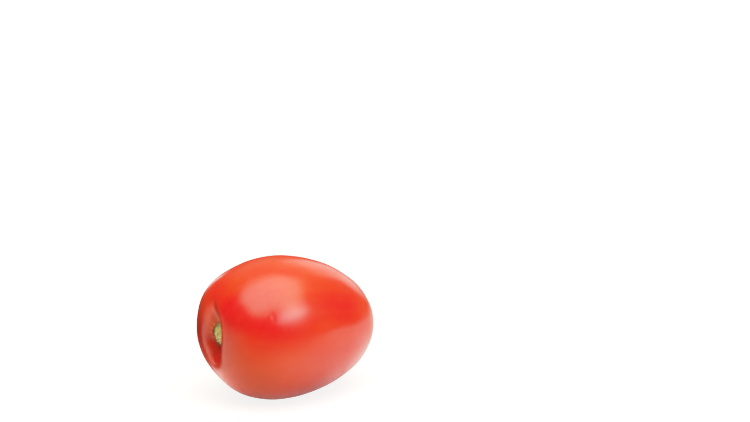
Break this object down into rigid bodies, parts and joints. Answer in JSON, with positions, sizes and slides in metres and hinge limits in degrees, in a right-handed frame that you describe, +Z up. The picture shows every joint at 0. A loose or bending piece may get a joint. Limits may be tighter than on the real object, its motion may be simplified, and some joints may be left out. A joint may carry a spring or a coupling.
{
  "type": "plum tomato",
  "caption": "Ripe red plum tomato lying on its side, egg-shaped, with a corky stem scar in the hollow at its stem end.",
  "frame": {"origin": "middle of the object's box, on the flat spot that the fruit rests on", "axes": "+X towards the blossom end, -X towards the stem end, +Z up, with the fruit lying on its side"},
  "size_m": [0.068, 0.0506, 0.0511],
  "materials": {
    "skin": "thin glossy ripe tomato skin over moist flesh, red with orange-red flushes",
    "stem_scar": "dry fibrous cork, pale olive with ragged dark brown edge"
  },
  "bodies": {
    "root": {"fruit": "skin", "stem_scar": "stem_scar"}
  },
  "joints": []
}
